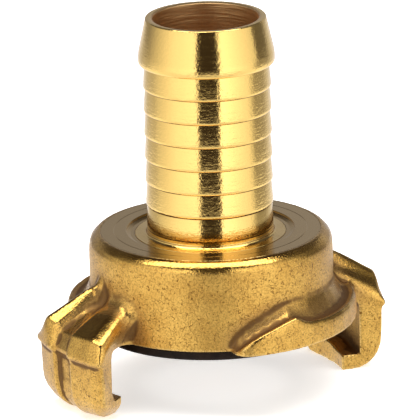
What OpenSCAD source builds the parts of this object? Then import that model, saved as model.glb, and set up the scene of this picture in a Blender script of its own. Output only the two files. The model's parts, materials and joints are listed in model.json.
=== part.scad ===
// Two-claw quick coupling half with a swivelling hose tail.
// Z is the axis of the waterway. The claws point down, their feet stand on z = 0,
// and the hose tail points up. The claws lie on the X axis.

/* [Claw ring] */
// Distance between the tips of the two claws, the size this coupling family goes by
claw_spacing = 40; // [39:0.25:41]
// Diameter over the parting edge of the claws
claw_span = 54.1; // [53.5:0.1:55]
// How far the claws reach below the rim of the ring
claw_drop = 10.9; // [10.5:0.1:12]
// Radius of the pocket turned behind each claw's foot
pocket_r = 22.85; // [22:0.05:23.2]
// Height of the gap between the rim and a claw's foot
hook_gap = 7.65; // [7:0.05:8]
// Outside diameter of the ring
ring_d = 36.6; // [36.2:0.1:37.2]
// Height of the ring
ring_h = 13.6; // [13:0.1:15]
// Diameter over the ramp flanges
ramp_d = 43.5; // [42:0.1:44.5]

/* [Hose tail] */
// Height of the tail's tip above the rim of the ring
tail_h = 46.4; // [46:0.1:60]
// Diameter of the waterway
bore_d = 15.8; // [14:0.1:16.2]
// Diameter over the first, largest barb
head_d = 20.4; // [20:0.1:21]
// Diameter over the small ridges
ridge_d = 19.1; // [19:0.1:19.8]
// Number of small ridges
ridge_count = 6; // [4:1:6]
// Distance from ridge to ridge
ridge_pitch = 3.6; // [3.4:0.05:3.65]
// Diameter of the journal that turns in the ring
journal_d = 22.6; // [22.4:0.1:22.8]
// Radial clearance of the journal
running_gap = 0.06; // [0.03:0.01:0.1]

/* [Face seal] */
// How far the seal stands out below the rim
seal_proud = 1.45; // [1:0.05:2]
// Diameter of the seal's face
seal_d = 35.8; // [35.4:0.1:36]

/* [Hidden] */
$fn = 96;
eps = 0.01;

rim_z = claw_drop;
ring_r = ring_d / 2;
ring_top_round = 1.7;
face_in_r = 12.6;
face_out_r = 16.6;
floor_step = 0.3;
bore_r = journal_d / 2 + running_gap;

// seats inside the ring, measured up from the rim
recess_r = 16.4;
groove_r = 17.1;
groove_low = 1.6;
groove_high = 3.6;
seal_seat = 5.2;
collar_seat = 8.6;
collar_r = 13.6;
collar_gap = 0.3;
end_play = 0.1;
seal_gap = 0.05;

// the forgings start inside the wall of the ring
root_r = 17.5;
edge_r = claw_span / 2;
edge_z = -0.85;
front_r = edge_r - 1.05;
leg_r = edge_r - 0.55;
heel_round = 4.8;
tip_r = claw_spacing / 2;
hook_lead = 0.95;

// Lines that run out along the top of a claw, from its leading to its trailing side:
// [angle at the ring, angle at the front, rise at the ring, rise at the front,
//  inset of the front above the parting edge, inset of the leg below it]
claw_lines = [
    [-18.5, -19.2, -2.4, -2.3, 0.05, 0.05],
    [-17.6, -18.8, -1.0, -1.5, 0.00, 0.00],
    [-16.2, -17.6, -0.5, -0.9, 0.00, 0.00],
    [-12.5, -14.8, 0.2, 0.0, -0.25, 0.00],
    [-9.0, -12.8, 1.65, 0.9, -0.40, 0.00],
    [-6.6, -11.0, 2.4, 1.25, -0.45, 0.00],
    [-4.6, -8.8, 2.3, 1.1, -0.30, 0.00],
    [-3.0, -7.2, 1.7, 0.7, -0.10, 0.00],
    [-2.0, -6.0, 0.5, 0.0, 0.25, 0.00],
    [-0.8, -4.6, -0.1, -0.5, 0.75, 0.75],
    [1.2, 2.6, -0.3, -0.5, 0.75, 0.75],
    [2.6, 4.2, 0.15, 0.1, 0.00, 0.00],
    [11.2, 14.6, 0.3, 0.25, 0.00, 0.00],
    [14.6, 18.2, -0.15, -0.15, 0.00, 0.00],
    [16.0, 19.3, -0.6, -0.5, 0.10, 0.05],
    [17.2, 20.0, -1.8, -1.6, 0.35, 0.20]
];

// Stations along a ramp flange, as angles in front of the claw, with the height of its edge
// and of its fillet on the ring: [angle, edge height, fillet height, reach beyond the ring]
ramp_reach = ramp_d / 2 - ring_r;
ramp_stations = [
    [-114.5, 0.5, 0.7, -0.10],
    [-112.5, 0.9, 1.7, 0.60],
    [-110.0, 1.6, 2.5, 0.87],
    [-106.5, 2.4, 3.4, 0.97],
    [-102.0, 3.2, 4.2, 1.00],
    [-96.5, 3.9, 5.0, 1.00],
    [-91.0, 4.6, 5.7, 1.00],
    [-86.8, 5.0, 6.1, 1.00],
    [-84.8, 4.7, 6.2, 1.00],
    [-82.0, 4.1, 6.3, 1.00],
    [-78.5, 3.7, 6.3, 1.00],
    [-73.0, 3.5, 6.3, 1.00],
    [-66.0, 3.4, 6.2, 1.00],
    [-58.0, 3.4, 6.1, 1.00],
    [-50.0, 3.4, 6.0, 1.00],
    [-42.0, 3.4, 5.9, 1.00],
    [-34.0, 3.4, 5.8, 1.00],
    [-26.0, 3.3, 5.8, 1.00],
    [-20.0, 3.1, 5.7, 1.00],
    [-15.0, 2.9, 5.6, 1.00]
];

function mix(a, b, t) = a + (b - a) * t;
function clamp01(t) = max(0, min(1, t));
function smooth(t) = let (c = clamp01(t)) c * c * (3 - 2 * c);
function spot(r, angle, z) = [r * cos(angle), r * sin(angle), rim_z + z];

// top of a claw without its ridge: a gentle arc that falls towards the front
function back_z(r) = let (d = r - ring_r) 5.5 - 0.26 * d - 0.0216 * d * d;
function root_fillet(r) = 1.1 * pow(max(0, (19.5 - r) / (19.5 - ring_r)), 2);

// the trailing side spreads in a fillet against the ring
function flare(line, r) =
    line[0] > 9 ? 3.5 * pow(max(0, (20 - r) / 1.7), 2) * (line[0] - 9) / 8.2 : 0;

// the back's lines draw in or swell out towards the front
function inset(line, r) = line[4] * smooth((r - 22) / (front_r - 22));

function line_angle(line, r) =
    mix(line[0], line[1], (r - ring_r) / (edge_r - ring_r)) + flare(line, r);
function line_rise(line, r) =
    mix(line[2], line[3], smooth((r - ring_r - 1.5) / (front_r - ring_r - 1.5)));

// the trailing side of the leg and foot leans in towards the tip
function leg_angle(line, r) =
    line[1] * (line[1] > 0 ? 1 - 0.27 * (leg_r - r) / (leg_r - tip_r) : 1);

// the foot's lower corner is rounded on the trailing side
function foot_lift(line) = 2.2 * pow(clamp01((line[1] - 11) / 9), 2.2);

back_radii = [root_r, ring_r + 0.3, ring_r + 0.9, 20.4, 21.8, 23.2, 24.5, front_r - 0.6, front_r];
hood_radii = [root_r, 19, 19.8, 20.6, 21.2];

// outside of a claw along one line: over its back, past the parting edge, down the leg, round the heel
function claw_outside(line) = let (in = line[5], lift = foot_lift(line)) concat(
    [for (r = back_radii)
        spot(r - inset(line, r), line_angle(line, r),
             back_z(r) + line_rise(line, r) + root_fillet(r))],
    [spot(front_r + 0.45 - line[4], line_angle(line, front_r), mix(back_z(front_r) + line[3], edge_z, 0.38)),
     spot(edge_r - in, line[1], edge_z + 0.35),
     spot(edge_r - in, line[1], edge_z - 0.15),
     spot(leg_r - in, line[1] * 0.98, edge_z - 0.65),
     spot(leg_r - 0.1 - in, leg_angle(line, leg_r), edge_z - 2.8)],
    [for (turn = [0:15:90])
        let (r = leg_r - heel_round - in * cos(turn) + (heel_round - 0.2) * cos(turn))
        spot(r, leg_angle(line, r), -claw_drop + heel_round * (1 - sin(turn)) + lift * sin(turn))],
    [spot(tip_r, leg_angle(line, tip_r), -claw_drop + lift)]
);

// the hook face slopes down over its leading half, where it rides up on to the mating ramp
function hook_z(y) = -hook_gap - hook_lead * clamp01((-0.6 - y) / 3.6);

// a point of the pocket, which follows a turned profile behind the claw
function pocket_spot(line, r, z) = spot(r, leg_angle(line, r) + flare(line, r), z);
function hook_spot(line, r) = pocket_spot(line, r, hook_z(r * sin(leg_angle(line, r))));

// inside of a claw along one line: out under the ring, down behind the leg, in over the foot, down the tip
function claw_inside(line) = let (
        corner = 1,
        wall_end = hook_z(pocket_r * sin(line[1])),
        tip_end = -claw_drop + foot_lift(line),
        tip_start = hook_z(tip_r * sin(leg_angle(line, tip_r)))
    ) concat(
        [for (r = hood_radii) pocket_spot(line, r, 0)],
        [for (turn = [0:30:90])
            pocket_spot(line, pocket_r - corner * (1 - sin(turn)), corner * (cos(turn) - 1))],
        [for (t = [0.25:0.25:1]) pocket_spot(line, pocket_r, mix(-corner, wall_end, t))],
        [for (t = [0.2:0.2:1]) hook_spot(line, mix(pocket_r, tip_r, t))],
        [for (t = [0.2:0.2:0.8]) pocket_spot(line, tip_r, mix(tip_start, tip_end, t))]
    );

// across a ramp: the rounded edge, then a hollow that climbs to the wall of the ring
ramp_across = [0, 0.04, 0.13, 0.29, 0.45, 0.61, 0.77, 1];
function ramp_top(station) = let (edge = station[1], wall = station[2])
    [for (t = ramp_across)
        let (climb = max(0, (t - 0.13) / 0.68),
             bevel = 0.15 * max(0, 1 - t / 0.13) + (t == 0 ? 0.25 * edge : 0),
             hollow = climb < 1 ? 0.35 * station[3] * sin(180 * climb) : 0)
        spot(mix(ring_r + ramp_reach * station[3], root_r, t), station[0],
             edge - bevel + (wall - edge) * climb * climb - hollow)];

function ramp_foot(station) = let (top = ramp_top(station))
    [for (p = top) [p[0], p[1], rim_z]];

// closed solid between two grids of points that have the same rows and columns
module block(near, far) {
    rows = len(near);
    cols = len(near[0]);
    shift = rows * cols;
    function at(i, j) = i * cols + j;
    polyhedron(
        points = [for (row = concat(near, far)) each row],
        faces = concat(
            [for (i = [0:rows - 2], j = [0:cols - 2], h = [0, 1])
                h == 0 ? [at(i, j), at(i, j + 1), at(i + 1, j)]
                       : [at(i, j + 1), at(i + 1, j + 1), at(i + 1, j)]],
            [for (i = [0:rows - 2], j = [0:cols - 2], h = [0, 1])
                h == 0 ? [shift + at(i, j), shift + at(i + 1, j), shift + at(i, j + 1)]
                       : [shift + at(i, j + 1), shift + at(i + 1, j), shift + at(i + 1, j + 1)]],
            [for (i = [0, rows - 1], j = [0:cols - 2], h = [0, 1])
                let (a = at(i, j), b = at(i, j + 1), c = shift + a, d = shift + b)
                i == 0 ? (h == 0 ? [a, c, b] : [b, c, d]) : (h == 0 ? [a, b, c] : [b, d, c])],
            [for (j = [0, cols - 1], i = [0:rows - 2], h = [0, 1])
                let (a = at(i, j), b = at(i + 1, j), c = shift + a, d = shift + b)
                j == 0 ? (h == 0 ? [a, b, c] : [b, d, c]) : (h == 0 ? [a, c, b] : [b, c, d])]
        )
    );
}

module twice() {
    for (turn = [0, 180])
        rotate([0, 0, turn])
            children();
}

module claw() {
    block([for (line = claw_lines) claw_inside(line)], [for (line = claw_lines) claw_outside(line)]);
}

module ramp_flange() {
    block([for (s = ramp_stations) ramp_top(s)], [for (s = ramp_stations) ramp_foot(s)]);
}

module ring_body() {
    translate([0, 0, rim_z])
        rotate_extrude()
            difference() {
                union() {
                    square([ring_r, ring_h - ring_top_round]);
                    square([ring_r - ring_top_round, ring_h]);
                    translate([ring_r - ring_top_round, ring_h - ring_top_round])
                        circle(r = ring_top_round);
                }
                // journal bore
                translate([-1, -1])
                    square([bore_r + 1, ring_h + 2]);
                // seat of the tail's collar
                translate([-1, -1])
                    square([collar_r + collar_gap + 1, collar_seat + 1]);
                // seat of the seal, with the groove that holds its lip
                translate([-1, -1])
                    square([recess_r + 1, seal_seat + 1]);
                translate([-1, groove_low])
                    square([groove_r + 1, groove_high - groove_low]);
                // dished floor round the journal
                polygon([
                    [bore_r - 1, ring_h + 1],
                    [bore_r - 1, ring_h - floor_step - 0.15],
                    [bore_r + 0.6, ring_h - floor_step - 0.15],
                    [face_in_r, ring_h - floor_step],
                    [face_in_r, ring_h + 1]
                ]);
            }
}

module claw_ring() {
    color("goldenrod") {
        union() {
            ring_body();
            twice()
                claw();
            twice()
                ramp_flange();
        }
    }
}

// one turned section through the tail, measured up from the rim
module tail_section() {
    head_low = tail_h - 7;
    root = ridge_d / 2 - 0.25;
    tip = head_d / 2 - 1.3;
    foot_r = ridge_d / 2 - 0.05;
    foot_low = ring_h + 0.35;
    shoulder = ring_h - floor_step - 0.1;
    foot_top = head_low - ridge_count * ridge_pitch;
    collar_top = collar_seat - end_play;
    collar_low = seal_seat + seal_gap;
    difference() {
        union() {
            translate([0, collar_low])
                square([collar_r, collar_top - collar_low]);
            translate([0, collar_low])
                square([journal_d / 2, shoulder - 0.1 - collar_low]);
            // foot, which runs down at the width of the ridges to a hollow fillet
            polygon([
                [0, shoulder - 0.1 - eps],
                [journal_d / 2, shoulder - 0.1 - eps],
                [journal_d / 2, shoulder - 0.1],
                [journal_d / 2 - 0.1, shoulder],
                [foot_r + 0.75, shoulder + 0.01],
                [foot_r + 0.42, shoulder + 0.12],
                [foot_r + 0.18, shoulder + 0.32],
                [foot_r + 0.05, shoulder + 0.55],
                [foot_r, foot_low],
                [foot_r, foot_top - 0.18],
                [foot_r - 0.18, foot_top],
                [foot_r - 0.18, foot_top + eps],
                [0, foot_top + eps]
            ]);
            // saw-tooth ridges, each with its step at the bottom
            for (i = [0:ridge_count - 1])
                translate([0, head_low - (i + 1) * ridge_pitch])
                    polygon([
                        [0, 0],
                        [ridge_d / 2 - 0.12, 0],
                        [ridge_d / 2, 0.14],
                        [ridge_d / 2, 0.5],
                        [root, ridge_pitch],
                        [0, ridge_pitch]
                    ]);
            // first barb, a long cone that widens down to a rounded step
            polygon([
                [0, head_low - 0.5],
                [root, head_low - 0.5],
                [root, head_low],
                [head_d / 2 - 0.62, head_low],
                [head_d / 2 - 0.32, head_low + 0.15],
                [head_d / 2 - 0.1, head_low + 0.45],
                [head_d / 2, head_low + 0.95],
                [head_d / 2 - 0.02, head_low + 1.6],
                [head_d / 2 - 0.12, head_low + 2.2],
                [tip + 0.12, tail_h - 0.15],
                [tip, tail_h],
                [0, tail_h]
            ]);
        }
        translate([-1, 0])
            square([bore_d / 2 + 1, tail_h + 1]);
        // mouth of the waterway
        polygon([
            [0, tail_h - 0.15],
            [bore_d / 2, tail_h - 0.15],
            [bore_d / 2 + 0.15, tail_h],
            [bore_d / 2 + 0.15, tail_h + 1],
            [0, tail_h + 1]
        ]);
    }
}

module hose_tail() {
    color("gold")
        translate([0, 0, rim_z])
            rotate_extrude()
                tail_section();
}

// one section through the moulded seal, measured up from the rim
module seal_section() {
    in_r = 8.7;
    face_r = seal_d / 2;
    face_round = 0.5;
    difference() {
        union() {
            translate([0, -seal_proud + face_round])
                square([face_r, seal_proud - face_round]);
            translate([0, -seal_proud])
                square([face_r - face_round, seal_proud]);
            translate([face_r - face_round, -seal_proud + face_round])
                circle(r = face_round);
            translate([0, -eps])
                square([recess_r, seal_seat + eps]);
            translate([0, groove_low])
                square([groove_r, groove_high - groove_low]);
        }
        translate([-1, -seal_proud - 1])
            square([in_r + 1, seal_seat + seal_proud + 2]);
        // flared mouth inside the sealing face
        polygon([
            [0, -seal_proud - 1],
            [in_r + 2.2, -seal_proud - 1],
            [in_r + 2.2, -seal_proud],
            [in_r + 0.9, -seal_proud + 0.8],
            [in_r, -seal_proud + 2.4],
            [0, -seal_proud + 2.4]
        ]);
    }
}

module face_seal() {
    color("dimgray")
        translate([0, 0, rim_z])
            rotate_extrude()
                seal_section();
}

claw_ring();
hose_tail();
face_seal();
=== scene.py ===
import json
import math

import bmesh
import bpy
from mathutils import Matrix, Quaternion, Vector, noise


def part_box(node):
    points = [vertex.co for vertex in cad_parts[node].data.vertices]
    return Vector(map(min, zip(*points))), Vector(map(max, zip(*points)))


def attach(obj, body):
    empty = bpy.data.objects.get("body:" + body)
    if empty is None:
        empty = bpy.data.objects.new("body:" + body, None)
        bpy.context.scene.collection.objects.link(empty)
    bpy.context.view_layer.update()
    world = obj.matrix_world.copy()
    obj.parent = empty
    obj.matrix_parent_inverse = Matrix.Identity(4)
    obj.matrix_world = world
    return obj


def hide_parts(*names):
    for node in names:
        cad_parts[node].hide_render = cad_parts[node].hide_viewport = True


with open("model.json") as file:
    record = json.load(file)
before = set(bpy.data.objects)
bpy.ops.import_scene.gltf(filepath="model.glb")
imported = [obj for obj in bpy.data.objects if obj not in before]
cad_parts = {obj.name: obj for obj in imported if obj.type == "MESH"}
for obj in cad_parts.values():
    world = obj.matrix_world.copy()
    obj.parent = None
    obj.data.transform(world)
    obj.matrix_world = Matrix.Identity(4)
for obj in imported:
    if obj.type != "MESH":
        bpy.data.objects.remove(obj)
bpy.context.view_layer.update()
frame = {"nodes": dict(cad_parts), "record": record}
scene = bpy.context.scene
mm = 0.001                    # the settings are in mm, Blender works in metres
smoothStep = {"interpolation_type": "SMOOTHSTEP"}
colourMix = {"data_type": "RGBA"}
numberMix = {"data_type": "FLOAT"}


def linearColour(hexCode):
    # sRGB hex to the linear values that the shader works in
    parts = [int(hexCode[i:i + 2], 16) / 255 for i in (1, 3, 5)]
    return tuple(c / 12.92 if c <= 0.04045 else ((c + 0.055) / 1.055) ** 2.4 for c in parts) + (1.0,)


def grey(value):
    return (value, value, value, 1.0)


def addNode(tree, kind, settings=None, links=None):
    # a setting goes to the node itself or to its socket, a link comes from another node's output
    node = tree.nodes.new(kind)
    for key, value in (settings or {}).items():
        if isinstance(key, str) and hasattr(node, key):
            setattr(node, key, value)
        else:
            node.inputs[key].default_value = value
    for key, output in (links or {}).items():
        tree.links.new(output, node.inputs[key])
    return node


def newMaterial(name):
    material = bpy.data.materials.new(name)
    material.use_nodes = True
    material.node_tree.nodes.clear()
    return material, material.node_tree


def nodeBox(node):
    # lowest and highest corner of a CAD node in mm, to the nearest micron
    return [[round(value / mm, 3) for value in corner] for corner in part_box(node)]


# Heights in the pieces' settings are measured up from the rim, the ring's lower edge above the claws' feet.
ringHeight = 13.6
rimHeight = round(nodeBox("claw_ring")[1][2] - ringHeight, 3)
tailLow, tailHigh = nodeBox("hose_tail")
sealLow, sealHigh = nodeBox("face_seal")
mounts = {mount["name"]: mount for mount in frame["record"]["mounts"]}

cameraSettings = {
    "azimuth": -32.0,         # degrees round the part, 0 looks along +Y
    "elevation": 17.0,
    "roll": -1.35,
    "distance": 800.0,        # a long lens from well back
    "viewWidth": 62.84,       # across the picture, at the part
    "targetHeight": 27.3,     # above the floor
    "sensor": 36.0,
}


def placeCamera(s):
    a, e = math.radians(s["azimuth"]), math.radians(s["elevation"])
    back = Vector((math.sin(a) * math.cos(e), -math.cos(a) * math.cos(e), math.sin(e)))
    data = bpy.data.cameras.new("camera")
    data.sensor_width = s["sensor"]
    data.lens = s["sensor"] * s["distance"] / s["viewWidth"]
    data.clip_start, data.clip_end = 0.01, 50.0
    camera = bpy.data.objects.new("camera", data)
    scene.collection.objects.link(camera)
    camera.location = Vector((0, 0, s["targetHeight"] * mm)) + back * s["distance"] * mm
    roll = Quaternion((0, 0, 1), math.radians(s["roll"]))
    camera.rotation_mode = "QUATERNION"
    camera.rotation_quaternion = (-back).to_track_quat("-Z", "Y") @ roll
    scene.camera = camera


# The brass mirrors tall soft panels on either side of a dark gap, a grey backdrop and one panel overhead.
studioSettings = {
    # brightness at each bearing, in degrees to the right of the camera's line of sight, in tiers
    # from the table upwards; each tier takes over between its two heights, in degrees
    "tiers": [
        (None, [(-180, 1.00), (-140, 1.15), (-108, 1.35), (-60, 1.15), (-37, 1.18), (-15, 1.00), (8, 0.90),
                (25, 0.93), (47, 1.02), (80, 1.25), (110, 1.35), (138, 1.15), (180, 1.00)]),
        ((-16.5, -14.5), [(-180, 1.00), (-160, 0.90), (-139, 0.60), (-112, 0.60), (-104, 0.80), (-80, 1.10),
                          (-60, 1.40), (-19, 1.70), (-16, 0.03), (20, 0.03), (23, 2.20), (50, 1.60),
                          (80, 1.15), (87, 0.80), (94, 0.38), (122, 0.38), (132, 0.60), (150, 0.80),
                          (180, 1.00)]),
        ((-7, -4), [(-180, 0.36), (-125, 0.30), (-112, 0.45), (-104, 0.60), (-60, 1.30), (-19, 1.60),
                    (-16, 0.03), (20, 0.03), (23, 1.90), (60, 1.35), (90, 0.95), (97, 0.14), (124, 0.16),
                    (138, 0.50), (180, 0.40)]),
        ((21, 26), [(-180, 0.08), (-120, 0.08), (-90, 0.40), (-60, 1.20), (-19, 1.80), (-16, 0.07),
                    (20, 0.07), (23, 1.80), (60, 1.20), (90, 0.40), (120, 0.08), (180, 0.08)]),
        ((43, 46), [(-180, 0.04), (180, 0.04)]),
    ],
    "backTint": (1.0, 1.03, 1.14, 1.0),     # the backdrop is a cooler white than the panels
    "backReach": (-0.1, 0.7),
    "glow": (0.014, 0.005, 0.001, 1.0),     # the dark gap is a warm black
    "overhead": 4.2,                        # brightness of one long oval panel above
    "overheadSpan": (0.68, 0.25),           # half its width and depth, as sines from straight up
    "overheadShift": -0.08,                 # towards the camera
    "overheadEdge": (1.05, 0.95),
    "lampPower": 7.0,                       # W, a soft lamp that only matt surfaces see
    "lampSize": 1.2,                        # m
    "lampHeight": 1.1,                      # m
    "floorColour": "#FBFAF8",
    "floorSize": 6.0,                       # m
    "floorRoughness": 0.9,
    "floorSpecular": 0.1,
    "floorGlow": 0.62,                      # lit from below, so shadows on the table stay faint
}


def paintTiers(tree, around, degrees, tiers):
    # around runs from 0 to 1 over the bearings, degrees is the height above the horizon
    light = None
    for heights, stops in tiers:
        tier = addNode(tree, "ShaderNodeValToRGB", {}, {0: around})
        marks = tier.color_ramp.elements
        marks.remove(marks[-1])
        marks[0].position = stops[0][0] / 360 + 0.5
        marks[0].color = grey(stops[0][1])
        for bearing, brightness in stops[1:]:
            marks.new(bearing / 360 + 0.5).color = grey(brightness)
        if light is None:
            light = tier.outputs[0]
            continue
        low, high = heights
        part = addNode(tree, "ShaderNodeMapRange", {**smoothStep, "From Min": low, "From Max": high},
                       {"Value": degrees})
        light = addNode(tree, "ShaderNodeMix", colourMix,
                        {0: part.outputs[0], 6: light, 7: tier.outputs[0]}).outputs[2]
    return light


def lightStudio(s, azimuth):
    world = bpy.data.worlds.new("studio")
    scene.world = world
    world.use_nodes = True
    tree = world.node_tree
    tree.nodes.clear()
    direction = addNode(tree, "ShaderNodeTexCoord").outputs["Generated"]
    turned = addNode(tree, "ShaderNodeMapping", {"Rotation": (0, 0, -math.radians(azimuth))},
                     {"Vector": direction})
    axes = addNode(tree, "ShaderNodeSeparateXYZ", {}, {0: turned.outputs[0]})
    towards = addNode(tree, "ShaderNodeMath", {"operation": "MULTIPLY", 1: -1.0}, {0: axes.outputs[1]})
    bearing = addNode(tree, "ShaderNodeMath", {"operation": "ARCTAN2"},
                      {0: axes.outputs[0], 1: towards.outputs[0]})
    around = addNode(tree, "ShaderNodeMath", {"operation": "MULTIPLY_ADD", 1: 1 / math.tau, 2: 0.5},
                     {0: bearing.outputs[0]})
    height = addNode(tree, "ShaderNodeMath", {"operation": "ARCSINE"}, {0: axes.outputs[2]})
    degrees = addNode(tree, "ShaderNodeMath", {"operation": "MULTIPLY", 1: 180 / math.pi},
                      {0: height.outputs[0]})
    light = paintTiers(tree, around.outputs[0], degrees.outputs[0], s["tiers"])

    behind = addNode(tree, "ShaderNodeMapRange",
                     {**smoothStep, "From Min": s["backReach"][0], "From Max": s["backReach"][1]},
                     {"Value": axes.outputs[1]})
    cool = addNode(tree, "ShaderNodeMix", {**colourMix, 6: grey(1.0), 7: s["backTint"]},
                   {0: behind.outputs[0]})
    light = addNode(tree, "ShaderNodeMix", {**colourMix, "blend_type": "MULTIPLY", 0: 1.0},
                    {6: light, 7: cool.outputs[2]})
    light = addNode(tree, "ShaderNodeMix", {**colourMix, "blend_type": "ADD", 0: 1.0, 7: s["glow"]},
                    {6: light.outputs[2]})

    wide, deep = s["overheadSpan"]
    across = addNode(tree, "ShaderNodeVectorMath",
                     {"operation": "MULTIPLY_ADD", 1: (1 / wide, 1 / deep, 0),
                      2: (0, -s["overheadShift"] / deep, 0)}, {0: turned.outputs[0]})
    distance = addNode(tree, "ShaderNodeVectorMath", {"operation": "LENGTH"}, {0: across.outputs[0]})
    inside = addNode(tree, "ShaderNodeMapRange",
                     {**smoothStep, "From Min": s["overheadEdge"][0], "From Max": s["overheadEdge"][1]},
                     {"Value": distance.outputs["Value"]})
    above = addNode(tree, "ShaderNodeMath", {"operation": "GREATER_THAN", 1: 0.0}, {0: axes.outputs[2]})
    panel = addNode(tree, "ShaderNodeMath", {"operation": "MULTIPLY"},
                    {0: inside.outputs[0], 1: above.outputs[0]})
    light = addNode(tree, "ShaderNodeMix", {**colourMix, 7: grey(s["overhead"])},
                    {0: panel.outputs[0], 6: light.outputs[2]})

    seen = addNode(tree, "ShaderNodeLightPath").outputs["Is Camera Ray"]
    shown = addNode(tree, "ShaderNodeMix", {**colourMix, 7: linearColour(s["floorColour"])},
                    {0: seen, 6: light.outputs[2]})
    shade = addNode(tree, "ShaderNodeBackground", {"Strength": 1.0}, {"Color": shown.outputs[2]})
    addNode(tree, "ShaderNodeOutputWorld", {}, {"Surface": shade.outputs[0]})


def hangLamp(s):
    lamp = bpy.data.lights.new("overhead", "AREA")
    lamp.shape = "DISK"
    lamp.size = s["lampSize"]
    lamp.energy = s["lampPower"]
    lampObject = bpy.data.objects.new("overhead", lamp)
    scene.collection.objects.link(lampObject)
    lampObject.location = (0, 0, s["lampHeight"])
    lampObject.visible_camera = False
    lampObject.visible_glossy = False


def layFloor(s):
    mesh = bmesh.new()
    bmesh.ops.create_grid(mesh, x_segments=1, y_segments=1, size=s["floorSize"] / 2)
    data = bpy.data.meshes.new("floor")
    mesh.to_mesh(data)
    mesh.free()
    floor = bpy.data.objects.new("floor", data)
    scene.collection.objects.link(floor)
    # opal acrylic light table, satin and glowing a little
    material, tree = newMaterial("lightTable")
    colour = linearColour(s["floorColour"])
    shade = addNode(tree, "ShaderNodeBsdfPrincipled",
                    {"Base Color": colour, "Emission Color": colour, "Emission Strength": s["floorGlow"],
                     "Roughness": s["floorRoughness"], "Specular IOR Level": s["floorSpecular"]})
    addNode(tree, "ShaderNodeOutputMaterial", {}, {"Surface": shade.outputs[0]})
    data.materials.append(material)
    floor.visible_glossy = False   # the metal mirrors the panels, which reach below it


def finishPiece(name, mesh, material, body, node, crisp=None):
    # crisp is the angle in degrees past which an edge stays sharp in the shading
    data = bpy.data.meshes.new(name)
    mesh.to_mesh(data)
    mesh.free()
    data.materials.append(material)
    piece = bpy.data.objects.new(name, data)
    scene.collection.objects.link(piece)
    for face in data.polygons:
        face.use_smooth = True
    if crisp:
        data.set_sharp_from_angle(angle=math.radians(crisp))
    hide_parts(node)
    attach(piece, body)
    print(name, "ready,", sum(len(face.vertices) - 2 for face in data.polygons), "triangles")


def spinSection(section, steps):
    # section is a closed line of (radius, height above the rim), in mm
    mesh = bmesh.new()
    points = [mesh.verts.new((r * mm, 0, (z + rimHeight) * mm)) for r, z in section]
    edges = [mesh.edges.new((points[i - 1], points[i])) for i in range(len(points))]
    bmesh.ops.spin(mesh, geom=points + edges, cent=(0, 0, 0), axis=(0, 0, 1), angle=math.tau,
                   steps=steps, use_merge=True)
    bmesh.ops.recalc_face_normals(mesh, faces=mesh.faces)
    return mesh


def easeEdges(mesh, size, angle):
    # a small round along every edge sharper than the angle, in degrees
    sharp = [e for e in mesh.edges if len(e.link_faces) == 2 and e.calc_face_angle() > math.radians(angle)]
    bmesh.ops.bevel(mesh, geom=sharp, offset=size * mm, offset_type="OFFSET", affect="EDGES",
                    segments=2, profile=0.5, material=-1, clamp_overlap=True)


def axisDistance(tree, place):
    # how far a point is from the axis of the waterway, in metres
    flat = addNode(tree, "ShaderNodeVectorMath", {"operation": "MULTIPLY", 1: (1, 1, 0)}, {0: place})
    length = addNode(tree, "ShaderNodeVectorMath", {"operation": "LENGTH"}, {0: flat.outputs[0]})
    return length.outputs["Value"]


turnedBrassSettings = {
    "colour": "#EFC977",
    "roughness": (0.08, 0.17),
    "roughRange": (0.35, 0.65),    # heights on the tool lines, rougher where they stand up
    "lineSpacing": 0.26,      # the real feed marks are finer and would not show
    "lineLength": 3.0,
    "lineDepth": 0.016,
    "skinSize": 0.45,         # torn and burnished patches that the tool leaves
    "skinDepth": 0.023,
    "boreRadius": 8.2,        # the drilled waterway inside this is duller and browner
    "boreEdge": 0.1,
    "boreColour": "#DFB680",
    "boreRoughness": 0.40,
    "boreLineSpacing": 0.35,
    "boreLineLength": 6.0,
    "boreLineDepth": 0.07,
    "ridgeShadeColour": "#7A5A2C",        # painted shade in the corner under each ridge
    "ridgeShadeReach": (0.035, 0.028),    # below and above the step, as shares of a ridge
}


def turnedRelief(tree, place, bore, s):
    # fine rings from the lathe outside, coarser ones from the drill inside
    length, spacing = s["lineLength"] * mm, s["lineSpacing"] * mm
    stretch = addNode(tree, "ShaderNodeMapping", {"Scale": (1 / length, 1 / length, 1 / spacing)},
                      {"Vector": place})
    lines = addNode(tree, "ShaderNodeTexNoise", {"Scale": 1.0, "Detail": 3.0, "Roughness": 0.6},
                    {"Vector": stretch.outputs[0]})
    skin = addNode(tree, "ShaderNodeTexNoise",
                   {"Scale": 1 / (s["skinSize"] * mm), "Detail": 2.0, "Roughness": 0.6}, {"Vector": place})
    patches = addNode(tree, "ShaderNodeMath", {"operation": "MULTIPLY", 1: s["skinDepth"] * mm},
                      {0: skin.outputs[0]})
    outside = addNode(tree, "ShaderNodeMath", {"operation": "MULTIPLY_ADD", 1: s["lineDepth"] * mm},
                      {0: lines.outputs[0], 2: patches.outputs[0]})
    length, spacing = s["boreLineLength"] * mm, s["boreLineSpacing"] * mm
    stretch = addNode(tree, "ShaderNodeMapping", {"Scale": (1 / length, 1 / length, 1 / spacing)},
                      {"Vector": place})
    rings = addNode(tree, "ShaderNodeTexNoise", {"Scale": 1.0, "Detail": 2.0}, {"Vector": stretch.outputs[0]})
    inside = addNode(tree, "ShaderNodeMath", {"operation": "MULTIPLY", 1: s["boreLineDepth"] * mm},
                     {0: rings.outputs[0]})
    height = addNode(tree, "ShaderNodeMix", numberMix, {0: bore, 2: outside.outputs[0], 3: inside.outputs[0]})
    bump = addNode(tree, "ShaderNodeBump", {"Strength": 1.0, "Distance": 1.0}, {"Height": height.outputs[0]})
    return lines.outputs[0], bump.outputs[0]


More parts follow.
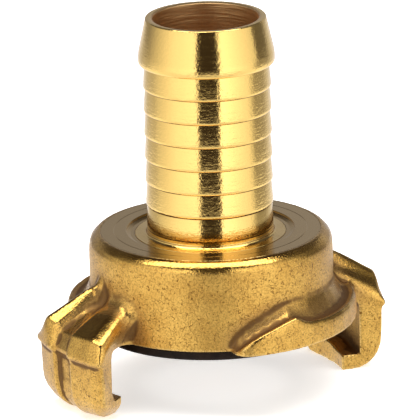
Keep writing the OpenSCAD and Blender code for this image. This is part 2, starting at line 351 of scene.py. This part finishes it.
def paintRidgeShade(tree, place, s, tail):
    # 1 in the corner under each ridge of the tail, where the shade is painted
    start, pitch = rimHeight + lowestRidge(tail), tail["ridgePitch"]
    below, above = s["ridgeShadeReach"]
    axes = addNode(tree, "ShaderNodeSeparateXYZ", {}, {0: place})
    ridge = addNode(tree, "ShaderNodeMath",
                    {"operation": "MULTIPLY_ADD", 1: 1 / (pitch * mm), 2: -start / pitch},
                    {0: axes.outputs[2]})
    phase = addNode(tree, "ShaderNodeMath", {"operation": "FRACT"}, {0: ridge.outputs[0]})
    under = addNode(tree, "ShaderNodeMapRange", {**smoothStep, "From Min": 1 - below, "From Max": 1.0},
                    {"Value": phase.outputs[0]})
    over = addNode(tree, "ShaderNodeMath", {"operation": "LESS_THAN", 1: above}, {0: phase.outputs[0]})
    corner = addNode(tree, "ShaderNodeMath", {"operation": "MAXIMUM"},
                     {0: under.outputs[0], 1: over.outputs[0]})
    ridged = addNode(tree, "ShaderNodeMath", {"operation": "LESS_THAN", 1: tail["ridgeCount"] + 0.5},
                     {0: ridge.outputs[0]})
    return addNode(tree, "ShaderNodeMath", {"operation": "MULTIPLY"},
                   {0: corner.outputs[0], 1: ridged.outputs[0]}).outputs[0]


def makeTurnedBrass(s, tail):
    # free-cutting brass from the lathe: a bright mirror, torn by fine tool marks; its drilled bore is dull,
    # and shade is painted into the corner under each ridge
    material, tree = newMaterial("turnedBrass")
    place = addNode(tree, "ShaderNodeTexCoord").outputs["Object"]
    bore = addNode(tree, "ShaderNodeMapRange",
                   {"From Min": s["boreRadius"] * mm, "From Max": (s["boreRadius"] - s["boreEdge"]) * mm},
                   {"Value": axisDistance(tree, place)}).outputs[0]
    lines, bump = turnedRelief(tree, place, bore, s)
    torn = addNode(tree, "ShaderNodeMapRange",
                   {"From Min": s["roughRange"][0], "From Max": s["roughRange"][1],
                    "To Min": s["roughness"][0], "To Max": s["roughness"][1]}, {"Value": lines})
    rough = addNode(tree, "ShaderNodeMix", {**numberMix, 3: s["boreRoughness"]},
                    {0: bore, 2: torn.outputs[0]})
    tone = addNode(tree, "ShaderNodeMix",
                   {**colourMix, 6: linearColour(s["colour"]), 7: linearColour(s["boreColour"])}, {0: bore})
    # painted shade in the corner under each ridge
    tone = addNode(tree, "ShaderNodeMix", {**colourMix, 7: linearColour(s["ridgeShadeColour"])},
                   {0: paintRidgeShade(tree, place, s, tail), 6: tone.outputs[2]})
    shade = addNode(tree, "ShaderNodeBsdfPrincipled", {"Metallic": 1.0},
                    {"Base Color": tone.outputs[2], "Roughness": rough.outputs[0], "Normal": bump})
    addNode(tree, "ShaderNodeOutputMaterial", {}, {"Surface": shade.outputs[0]})
    return material


tailSettings = {
    "height": tailHigh[2] - rimHeight,
    "bore": mounts["waterway_bore"]["dims"]["r_mm"],
    "mouth": 8.22,            # the bore opens out to this in a short slope
    "mouthDepth": 0.15,
    "tip": 8.9,
    "tipCorner": [(0.12, -0.15), (0, 0)],    # from the tip's radius and the top
    "headRadius": 10.2,
    "headLow": 39.4,
    # the first barb's round lower corner, from its radius and its low edge
    "headCorner": [(-0.42, 0), (-0.14, 0.12), (0, 0.42), (-0.02, 1.3), (-0.1, 2.0)],
    "ridgeRadius": 9.55,
    "ridgeRoot": 9.3,
    "ridgeCorner": [(-0.12, 0), (0, 0.14), (0, 0.5)],
    "ridgePitch": 3.6,
    "ridgeCount": 6,
    "journal": 11.3,
    "shoulder": 13.2,         # flush with the ring's floor
    "foot": 9.5,
    "footLow": 13.65,         # a fillet runs out from here to the journal's face
    "fillet": 0.45,
    "footLine": [(0.02, 0), (-0.05, 0.08), (0, 0.16)],    # the tool's mark where the fillet starts
    "footTaper": 0.14,        # the foot narrows this much towards the ridges
    "collar": tailHigh[0],
    "collarLow": tailLow[2] - rimHeight,
    "collarTop": 8.5,
    "steps": 200,
    "edge": 0.07,
    "edgeAngle": 25,
    "crisp": 15,
}


def lowestRidge(s):
    return s["headLow"] - s["ridgeCount"] * s["ridgePitch"]


def tailSection(s):
    # from the collar up the outside to the mouth, and down the waterway
    line = [(s["bore"], s["collarLow"]), (s["collar"], s["collarLow"]), (s["collar"], s["collarTop"]),
            (s["journal"], s["collarTop"]), (s["journal"], s["shoulder"])]
    foot, low, reach = s["foot"], s["footLow"], s["fillet"]
    drop = low - s["shoulder"]
    line += [(foot + reach - reach * math.sin(math.radians(t)), low - drop * math.cos(math.radians(t)))
             for t in (0, 18, 36, 54, 72)]
    line += [(foot + out, low + up) for out, up in s["footLine"]]
    lowest, narrow = lowestRidge(s), foot - s["footTaper"]
    line += [(narrow, lowest - s["footTaper"]), (narrow - s["footTaper"], lowest)]
    for i in range(s["ridgeCount"]):
        low = lowest + i * s["ridgePitch"]
        if i:
            line.append((s["ridgeRoot"], low))
        line += [(s["ridgeRadius"] + out, low + up) for out, up in s["ridgeCorner"]]
    line.append((s["ridgeRoot"], s["headLow"]))
    line += [(s["headRadius"] + out, s["headLow"] + up) for out, up in s["headCorner"]]
    line += [(s["tip"] + out, s["height"] + up) for out, up in s["tipCorner"]]
    return line + [(s["mouth"], s["height"]), (s["bore"], s["height"] - s["mouthDepth"])]


def makeTail(s, material):
    mesh = spinSection(tailSection(s), s["steps"])
    easeEdges(mesh, s["edge"], s["edgeAngle"])
    finishPiece("hoseTail", mesh, material, "tail", "hose_tail", s["crisp"])


sealRubberSettings = {
    "colours": ("#150E0A", "#221812"),
    "cloudRange": (0.35, 0.70),
    "cloudSize": 1.5,
    "roughness": 0.6,
    "ior": 1.52,
    "specular": 0.1,
}


def makeSealRubber(s):
    # black nitrile rubber, moulded: nearly matt, with the faint cloudiness of talc
    material, tree = newMaterial("sealRubber")
    place = addNode(tree, "ShaderNodeTexCoord").outputs["Object"]
    cloud = addNode(tree, "ShaderNodeTexNoise", {"Scale": 1 / (s["cloudSize"] * mm), "Detail": 4.0},
                    {"Vector": place})
    part = addNode(tree, "ShaderNodeMapRange",
                   {"From Min": s["cloudRange"][0], "From Max": s["cloudRange"][1]},
                   {"Value": cloud.outputs[0]})
    dark, light = [linearColour(colour) for colour in s["colours"]]
    tone = addNode(tree, "ShaderNodeMix", {**colourMix, 6: dark, 7: light}, {0: part.outputs[0]})
    shade = addNode(tree, "ShaderNodeBsdfPrincipled",
                    {"Roughness": s["roughness"], "IOR": s["ior"], "Specular IOR Level": s["specular"]},
                    {"Base Color": tone.outputs[2]})
    addNode(tree, "ShaderNodeOutputMaterial", {}, {"Surface": shade.outputs[0]})
    return material


sealSettings = {
    "low": sealLow[2] - rimHeight,
    "faceRadius": sealHigh[0],
    "faceRound": 0.5,
    "inner": 8.7,
    "lead": [(0, 2.4), (0.9, 0.8), (2.2, 0)],    # the opening's slope, from its radius and the face
    "recess": 16.4,
    "groove": 17.1,
    "grooveHeights": (1.6, 3.6),
    "seat": sealHigh[2] - rimHeight,
    "steps": 160,
    "edge": 0.12,
    "edgeAngle": 20,
    "crisp": 30,
}


def makeSeal(s, material):
    low, face, bend = s["low"], s["faceRadius"], s["faceRound"]
    grooveLow, grooveHigh = s["grooveHeights"]
    line = [(s["inner"] + out, low + up) for out, up in s["lead"]]
    line += [(face - bend + bend * math.sin(math.radians(t)), low + bend - bend * math.cos(math.radians(t)))
             for t in (0, 22, 45, 68, 90)]
    line += [(face, 0), (s["recess"], 0), (s["recess"], grooveLow), (s["groove"], grooveLow),
             (s["groove"], grooveHigh), (s["recess"], grooveHigh), (s["recess"], s["seat"]),
             (s["inner"], s["seat"])]
    mesh = spinSection(line, s["steps"])
    easeEdges(mesh, s["edge"], s["edgeAngle"])
    finishPiece("faceSeal", mesh, material, "coupling", "face_seal", s["crisp"])


forgedBrassSettings = {
    "colours": ("#D6A753", "#E6B85F"),    # lower and higher parts of the gentle waves
    "waveRange": (0.35, 0.62),
    "waveSize": 3.0,
    "waveDepth": 0.05,
    "wallRoughness": 0.37,        # upright faces keep the die's bite
    "topRoughness": 0.15,         # upward ones are burnished by tumbling
    "burnishSlope": (0.06, 0.45),    # how far a face looks up, 1 is flat
    "grainSize": 0.32,            # scale marks of the die
    "grainDepth": 0.075,
    "grainSlope": (-0.9, 1.0),    # burnished faces keep part of the grain
    # painted shade in the hollows, which also turn rougher
    "creviceShade": "#7C5D3A",
    "hollowLift": (0.008, 0.045),    # see markHollows
    # a lighter colour on keen edges
    "keenTone": "#E8C070",
    "keenLift": (-0.06, -0.14),
    # painted shade in pockets, from ambient occlusion
    "pocket": "#B8925C",
    "shelter": 4.0,               # how far the walls of pockets reach in the ambient occlusion, which paints shade there and roughens them
    "shelterShare": (0.96, 0.68),
    "dullRoughness": 0.6,         # of hollows and pockets, which tumbling doesn't reach
    "speckSize": 0.26,            # fine dark specks all over
    "speckRange": (0.45, 0.65),
    "speckShare": 0.42,
    "markColour": "#8A6430",
    "markSize": 0.8,              # spacing of the short curved marks
    "markWidth": 0.024,           # share of the noise's range that a mark takes
    "markCore": 0.3,              # share of a mark that is fully dark
    "markDepth": 0.03,
    "breakSize": 0.6,             # patches that a mark shows in
    "breakRange": (0.42, 0.53),
    "faceColour": "#C9A868",      # the top of the ring, turned smooth
    "faceRoughness": 0.19,
    "faceDepth": 0.15,
    "floorMargin": 0.3,
    "feedSpacing": 0.30,          # drawn coarser than the real feed marks
    "feedDepth": 0.0014,
}


def turnedZone(tree, place, radius, s, ring):
    # 1 on the ring's turned face and its dished floor, 0 elsewhere
    axes = addNode(tree, "ShaderNodeSeparateXYZ", {}, {0: place})
    zones = []
    floorReach = ring["floorRadius"] + s["floorMargin"]
    for top, reach in ((ring["height"], ring["faceRadius"]), (ring["floor"], floorReach)):
        low = (rimHeight + top - s["faceDepth"]) * mm
        above = addNode(tree, "ShaderNodeMath", {"operation": "GREATER_THAN", 1: low}, {0: axes.outputs[2]})
        within = addNode(tree, "ShaderNodeMath", {"operation": "LESS_THAN", 1: reach * mm}, {0: radius})
        zones.append(addNode(tree, "ShaderNodeMath", {"operation": "MULTIPLY"},
                             {0: above.outputs[0], 1: within.outputs[0]}).outputs[0])
    return addNode(tree, "ShaderNodeMath", {"operation": "MAXIMUM"}, {0: zones[0], 1: zones[1]}).outputs[0]


def shortMarks(tree, place, shifted, upright, s):
    # thin curved lines where a noise crosses its middle, broken up by a second one, on upright faces
    field = addNode(tree, "ShaderNodeTexNoise",
                    {"Scale": 1 / (s["markSize"] * mm), "Detail": 1.0, "Distortion": 0.6}, {"Vector": place})
    level = addNode(tree, "ShaderNodeMath", {"operation": "SUBTRACT", 1: 0.5}, {0: field.outputs[0]})
    away = addNode(tree, "ShaderNodeMath", {"operation": "ABSOLUTE"}, {0: level.outputs[0]})
    line = addNode(tree, "ShaderNodeMapRange",
                   {"From Min": s["markWidth"] * s["markCore"], "From Max": s["markWidth"],
                    "To Min": 1.0, "To Max": 0.0}, {"Value": away.outputs[0]})
    broken = addNode(tree, "ShaderNodeTexNoise", {"Scale": 1 / (s["breakSize"] * mm), "Detail": 2.0},
                     {"Vector": shifted})
    chosen = addNode(tree, "ShaderNodeMapRange",
                     {"From Min": s["breakRange"][0], "From Max": s["breakRange"][1]},
                     {"Value": broken.outputs[0]})
    marks = addNode(tree, "ShaderNodeMath", {"operation": "MULTIPLY"},
                    {0: line.outputs[0], 1: chosen.outputs[0]})
    return addNode(tree, "ShaderNodeMath", {"operation": "MULTIPLY"},
                   {0: marks.outputs[0], 1: upright}).outputs[0]


def forgedRelief(tree, place, radius, face, upright, wave, marks, s):
    # grain, waves and marks of the die, or feed rings on the turned face
    grain = addNode(tree, "ShaderNodeTexNoise",
                    {"Scale": 1 / (s["grainSize"] * mm), "Detail": 2.0, "Roughness": 0.6}, {"Vector": place})
    depth = addNode(tree, "ShaderNodeMath", {"operation": "MULTIPLY", 1: s["grainDepth"] * mm},
                    {0: grain.outputs[0]})
    kept = addNode(tree, "ShaderNodeMapRange",
                   {**smoothStep, "From Min": s["grainSlope"][0], "From Max": s["grainSlope"][1]},
                   {"Value": upright})
    height = addNode(tree, "ShaderNodeMath", {"operation": "MULTIPLY"},
                     {0: depth.outputs[0], 1: kept.outputs[0]})
    height = addNode(tree, "ShaderNodeMath", {"operation": "MULTIPLY_ADD", 1: s["waveDepth"] * mm},
                     {0: wave, 2: height.outputs[0]})
    height = addNode(tree, "ShaderNodeMath", {"operation": "MULTIPLY_ADD", 1: -s["markDepth"] * mm},
                     {0: marks, 2: height.outputs[0]})
    feed = addNode(tree, "ShaderNodeTexNoise",
                   {"noise_dimensions": "1D", "Scale": 1 / (s["feedSpacing"] * mm), "Detail": 2.0},
                   {"W": radius})
    rings = addNode(tree, "ShaderNodeMath", {"operation": "MULTIPLY", 1: s["feedDepth"] * mm},
                    {0: feed.outputs[0]})
    height = addNode(tree, "ShaderNodeMix", numberMix, {0: face, 2: height.outputs[0], 3: rings.outputs[0]})
    return addNode(tree, "ShaderNodeBump", {"Strength": 1.0, "Distance": 1.0},
                   {"Height": height.outputs[0]}).outputs[0]


def layTones(tree, tone, layers):
    # each colour lies over the ones before it, as far as its share reaches
    for part, colour in layers:
        mix = addNode(tree, "ShaderNodeMix", {**colourMix, 7: linearColour(colour)}, {0: part, 6: tone})
        tone = mix.outputs[2]
    return tone


def makeForgedBrass(s, ring):
    # hot forged brass, tumbled: a soft shine broken by fine grain and short marks, with its top face turned;
    # shade is painted into its hollows and pockets, and keen edges get a lighter colour
    material, tree = newMaterial("forgedBrass")
    texture = addNode(tree, "ShaderNodeTexCoord")
    place = texture.outputs["Object"]
    shifted = addNode(tree, "ShaderNodeVectorMath", {"operation": "ADD", 1: (0.3, 0.1, 0.2)},
                      {0: place}).outputs[0]
    radius = axisDistance(tree, place)
    face = turnedZone(tree, place, radius, s, ring)
    facing = addNode(tree, "ShaderNodeSeparateXYZ", {}, {0: texture.outputs["Normal"]})
    burnish = addNode(tree, "ShaderNodeMapRange",
                      {**smoothStep, "From Min": s["burnishSlope"][0], "From Max": s["burnishSlope"][1]},
                      {"Value": facing.outputs[2]}).outputs[0]
    upright = addNode(tree, "ShaderNodeMath", {"operation": "SUBTRACT", 0: 1.0}, {1: burnish}).outputs[0]
    wave = addNode(tree, "ShaderNodeTexNoise", {"Scale": 1 / (s["waveSize"] * mm), "Detail": 2.0},
                   {"Vector": place}).outputs[0]
    marks = shortMarks(tree, place, shifted, upright, s)
    bump = forgedRelief(tree, place, radius, face, upright, wave, marks, s)

    # the hollows get painted shade in their colour and a rougher finish
    lift = addNode(tree, "ShaderNodeAttribute", {"attribute_name": "hollow"}).outputs["Fac"]
    hollow = addNode(tree, "ShaderNodeMapRange",
                     {**smoothStep, "From Min": s["hollowLift"][0], "From Max": s["hollowLift"][1]},
                     {"Value": lift}).outputs[0]
    # keen edges get a lighter colour
    keen = addNode(tree, "ShaderNodeMapRange",
                   {**smoothStep, "From Min": s["keenLift"][0], "From Max": s["keenLift"][1]},
                   {"Value": lift}).outputs[0]
    # ambient occlusion: pockets get painted shade and a rougher finish
    openness = addNode(tree, "ShaderNodeAmbientOcclusion",
                       {"samples": 4, "only_local": True, "Distance": s["shelter"] * mm}).outputs["AO"]
    sheltered = addNode(tree, "ShaderNodeMapRange",
                        {**smoothStep, "From Min": s["shelterShare"][0], "From Max": s["shelterShare"][1]},
                        {"Value": openness}).outputs[0]
    dust = addNode(tree, "ShaderNodeTexNoise", {"Scale": 1 / (s["speckSize"] * mm), "Detail": 1.0},
                   {"Vector": shifted})
    specks = addNode(tree, "ShaderNodeMapRange",
                     {"From Min": s["speckRange"][0], "From Max": s["speckRange"][1],
                      "To Max": s["speckShare"]}, {"Value": dust.outputs[0]}).outputs[0]

    risen = addNode(tree, "ShaderNodeMapRange",
                    {"From Min": s["waveRange"][0], "From Max": s["waveRange"][1]}, {"Value": wave})
    low, high = [linearColour(colour) for colour in s["colours"]]
    tone = addNode(tree, "ShaderNodeMix", {**colourMix, 6: low, 7: high}, {0: risen.outputs[0]}).outputs[2]
    # painted shade in pockets and hollows and a lighter colour on keen edges, then specks, marks and the
    # turned face over them
    tone = layTones(tree, tone, [(sheltered, s["pocket"]), (hollow, s["creviceShade"]), (keen, s["keenTone"]),
                                 (specks, s["markColour"]), (marks, s["markColour"]),
                                 (face, s["faceColour"])])
    dull = addNode(tree, "ShaderNodeMath", {"operation": "MAXIMUM"}, {0: hollow, 1: sheltered})
    rough = addNode(tree, "ShaderNodeMix", {**numberMix, 2: s["wallRoughness"], 3: s["topRoughness"]},
                    {0: burnish})
    rough = addNode(tree, "ShaderNodeMix", {**numberMix, 3: s["dullRoughness"]},
                    {0: dull.outputs[0], 2: rough.outputs[0]})
    rough = addNode(tree, "ShaderNodeMix", {**numberMix, 3: s["faceRoughness"]},
                    {0: face, 2: rough.outputs[0]})
    shade = addNode(tree, "ShaderNodeBsdfPrincipled", {"Metallic": 1.0},
                    {"Base Color": tone, "Roughness": rough.outputs[0], "Normal": bump})
    addNode(tree, "ShaderNodeOutputMaterial", {}, {"Surface": shade.outputs[0]})
    return material


ringSettings = {
    "height": ringHeight,
    "weld": 0.0005,               # points closer than this are one
    "voxel": 0.19,                # fine enough for the forging's soft edges
    "triangles": 184000,
    "smoothing": 1,
    "rootSmoothing": 14,          # more on the ring's wall, where the forging flows into a fillet
    "rootRadii": (17.4, 19.7),
    "rootHeights": (0.3, 10.5),
    "wallRadii": (16.6, 17.8),
    "drawIn": 0.32,               # the wall's draft just under the top
    "drawLow": 10.2,
    "rampRadii": (18.4, 21.2),
    "rampHeights": (0.5, 8.0),
    "rampSlope": 0.25,            # least that a face looks up there, 1 is flat
    "rampHollow": 0.45,           # how far the ramps' tops are hollowed out
    "clawHalf": 23.5,             # degrees from a claw's middle to its sides
    "clawFade": 4,
    "backSmoothing": 14,          # on the ridged backs of the claws
    "backRadii": (19.7, 28),
    "backHeights": (1.2, 14),
    "crest": (-5.6, -4.3),        # degrees, the ridge's place at the ring and its turn towards the front
    "crestRadii": (18.3, 27.05),
    "shoulder": 0.4,              # how far the ridge's trailing side is worn down
    "shoulderReach": (-0.3, 0.4, 0.8, 1.7),    # from the crest
    "edgeSmoothing": 5,           # on the parting edge of the claws
    "edgeRadii": (23.6, 28),
    "edgeHeights": (-2.4, 1.2),
    "dents": 0.035,               # uneven skin that the dies leave
    "dentSize": 2.2,
    "dentRadius": 17.2,
    "hollowReach": 20,            # passes of smoothing that tell hollows from edges
    "bore": 11.36,
    "floor": 13.15,               # of the dish round the tail
    "floorFlat": 0.6,             # it lies flat this far, and then rises to the edge
    "floorEdge": 13.3,
    "floorRadius": 12.6,
    "floorCorner": [(-0.05, 0), (0, 0.03)],               # from the edge of the floor
    "stepCorner": [(0.03, -0.04), (0.08, 0)],             # from the same edge, up at the face
    "faceRadius": 16.5,
    "faceLift": 0.005,            # the face lies this much over the forging's top
    "faceThickness": 0.6,
    "faceCorner": [(-0.06, 0), (0, -0.05)],
    "faceLine": 14.5,             # the facing tool's faint mark
    "lineCorner": [(-0.07, 0), (0, -0.03), (0.07, 0)],
    "seat": 9.0,
    "sink": 0.2,                  # the forged skin lies this deep under the turned face
    "sinkMargins": (0.1, 0.5, 0.4),    # from the face's edge, the seat and the bore
    "steps": 180,
    "crisp": 5,                   # degrees, keener edges of the turned face stay sharp
}


def takeMesh(copy):
    # the mesh that the modifiers make, as a bmesh
    evaluated = copy.evaluated_get(bpy.context.evaluated_depsgraph_get())
    mesh = bmesh.new()
    mesh.from_mesh(evaluated.to_mesh())
    evaluated.to_mesh_clear()
    return mesh


def smoothVerts(mesh, verts, passes):
    for step in range(passes):
        bmesh.ops.smooth_vert(mesh, verts=verts, factor=0.5,
                              use_axis_x=True, use_axis_y=True, use_axis_z=True)


def measure(v):
    # radius, and height above the rim, in mm
    return v.co.xy.length / mm, v.co.z / mm - rimHeight


def vertsWithin(mesh, radii, heights):
    chosen = []
    for v in mesh.verts:
        radius, height = measure(v)
        if radii[0] < radius < radii[1] and heights[0] < height < heights[1]:
            chosen.append(v)
    return chosen


def clawAngle(place):
    # degrees from the middle of the nearer claw
    angle = math.degrees(math.atan2(place.y, place.x)) % 180
    return angle - 180 if angle > 90 else angle


def share(value, low, high):
    # 0 up to low, 1 from high on
    return min(max((value - low) / (high - low), 0), 1)


def shapeWall(mesh, s):
    # draws the top of the wall in, and hollows out the ramps between their edge and the wall
    near, far = s["rampRadii"]
    low, high = s["rampHeights"]
    for v in mesh.verts:
        radius, height = measure(v)
        if radius > s["wallRadii"][0] and height > s["drawLow"]:
            rise = share(height, s["drawLow"], s["height"])
            drawn = s["drawIn"] * rise ** 2 * share(radius, *s["wallRadii"])
            v.co.xy *= 1 - drawn / radius
        elif near < radius < far and low < height < high and v.normal.z > s["rampSlope"]:
            side = share(abs(clawAngle(v.co)), s["clawHalf"], s["clawHalf"] + s["clawFade"])
            v.co.z -= s["rampHollow"] * mm * side * math.sin(math.pi * (radius - near) / (far - near))


def wearRidges(backs, s):
    # lowers the trailing shoulder of each claw's ridge
    start, turn = s["crest"]
    near, full, end, far = s["shoulderReach"]
    for v in backs:
        radius, height = measure(v)
        crest = start + turn * share(radius, *s["crestRadii"])
        away = math.radians(clawAngle(v.co) - crest) * radius
        v.co.z -= s["shoulder"] * mm * share(away, near, full) * share(-away, -far, -end)


def layUnevenSkin(mesh, s):
    # dents from the dies, and room for the turned face, which is laid over the forging
    mesh.normal_update()
    faceMargin, seatMargin, boreMargin = s["sinkMargins"]
    for v in mesh.verts:
        radius, height = measure(v)
        if radius > s["dentRadius"]:
            depth = 0.5 - 0.5 * noise.noise(v.co / (s["dentSize"] * mm))
            v.co -= v.normal * depth * s["dents"] * mm
        elif radius < s["faceRadius"] - faceMargin and height > s["seat"] + seatMargin:
            v.co.z -= s["sink"] * mm
            if radius < s["bore"] + boreMargin:
                v.co.xy *= 1 + s["sink"] / radius


def markHollows(mesh, passes):
    # how far smoothing would lift each point, in mm: more than 0 in a hollow, less on an edge
    mesh.normal_update()
    before = [(v.co.copy(), v.normal.copy()) for v in mesh.verts]
    smoothVerts(mesh, mesh.verts, passes)
    layer = mesh.verts.layers.float.new("hollow")
    for v, (place, normal) in zip(mesh.verts, before):
        v[layer] = (v.co - place).dot(normal) / mm
        v.co = place


def forgedSkin(node, s):
    # the forging's own shape with its corners softened, as the metal fills a die
    copy = bpy.data.objects.new("ringCopy", node.data.copy())
    scene.collection.objects.link(copy)
    mesh = bmesh.new()
    mesh.from_mesh(copy.data)
    bmesh.ops.remove_doubles(mesh, verts=mesh.verts, dist=s["weld"] * mm)
    mesh.to_mesh(copy.data)
    mesh.free()
    skin = copy.modifiers.new("skin", "REMESH")
    skin.mode = "VOXEL"
    skin.voxel_size = s["voxel"] * mm
    skin.adaptivity = 0.0
    mesh = takeMesh(copy)
    smoothVerts(mesh, mesh.verts, s["smoothing"])
    mesh.normal_update()
    shapeWall(mesh, s)
    smoothVerts(mesh, vertsWithin(mesh, s["rootRadii"], s["rootHeights"]), s["rootSmoothing"])
    backs = vertsWithin(mesh, s["backRadii"], s["backHeights"])
    wearRidges(backs, s)
    smoothVerts(mesh, backs, s["backSmoothing"])
    smoothVerts(mesh, vertsWithin(mesh, s["edgeRadii"], s["edgeHeights"]), s["edgeSmoothing"])
    layUnevenSkin(mesh, s)
    count = sum(len(face.verts) - 2 for face in mesh.faces)
    data = bpy.data.meshes.new("ringSkin")
    mesh.to_mesh(data)
    mesh.free()
    copy.modifiers.clear()
    copy.data = data
    copy.modifiers.new("thin", "DECIMATE").ratio = min(1.0, s["triangles"] / count)
    mesh = takeMesh(copy)
    bpy.data.objects.remove(copy)
    markHollows(mesh, s["hollowReach"])
    return mesh


def turnedFace(s):
    # the machined top: the bore's edge, the dished floor round the tail and the face
    top, floor, thick = s["height"] + s["faceLift"], s["floorRadius"], s["faceThickness"]
    line = [(s["bore"], s["seat"]), (s["bore"], s["floor"]), (s["bore"] + s["floorFlat"], s["floor"])]
    for radius, height, corner in ((floor, s["floorEdge"], "floorCorner"), (floor, top, "stepCorner"),
                                   (s["faceLine"], top, "lineCorner"), (s["faceRadius"], top, "faceCorner")):
        line += [(radius + out, height + up) for out, up in s[corner]]
    line += [(s["faceRadius"], top - thick), (floor + thick, top - 2 * thick), (floor + thick, s["seat"])]
    mesh = spinSection(line, s["steps"])
    for meshEdge in mesh.edges:
        meshEdge.smooth = meshEdge.calc_face_angle() < math.radians(s["crisp"])
    return mesh


def makeRing(s, material):
    mesh = forgedSkin(frame["nodes"]["claw_ring"], s)
    face = turnedFace(s)
    data = bpy.data.meshes.new("turnedFace")
    face.to_mesh(data)
    face.free()
    mesh.from_mesh(data)
    bpy.data.meshes.remove(data)
    finishPiece("clawRing", mesh, material, "coupling", "claw_ring")


scene.view_settings.view_transform = "Standard"
placeCamera(cameraSettings)
lightStudio(studioSettings, cameraSettings["azimuth"])
hangLamp(studioSettings)
layFloor(studioSettings)
print("studio ready")
makeTail(tailSettings, makeTurnedBrass(turnedBrassSettings, tailSettings))
makeSeal(sealSettings, makeSealRubber(sealRubberSettings))
makeRing(ringSettings, makeForgedBrass(forgedBrassSettings, ringSettings))
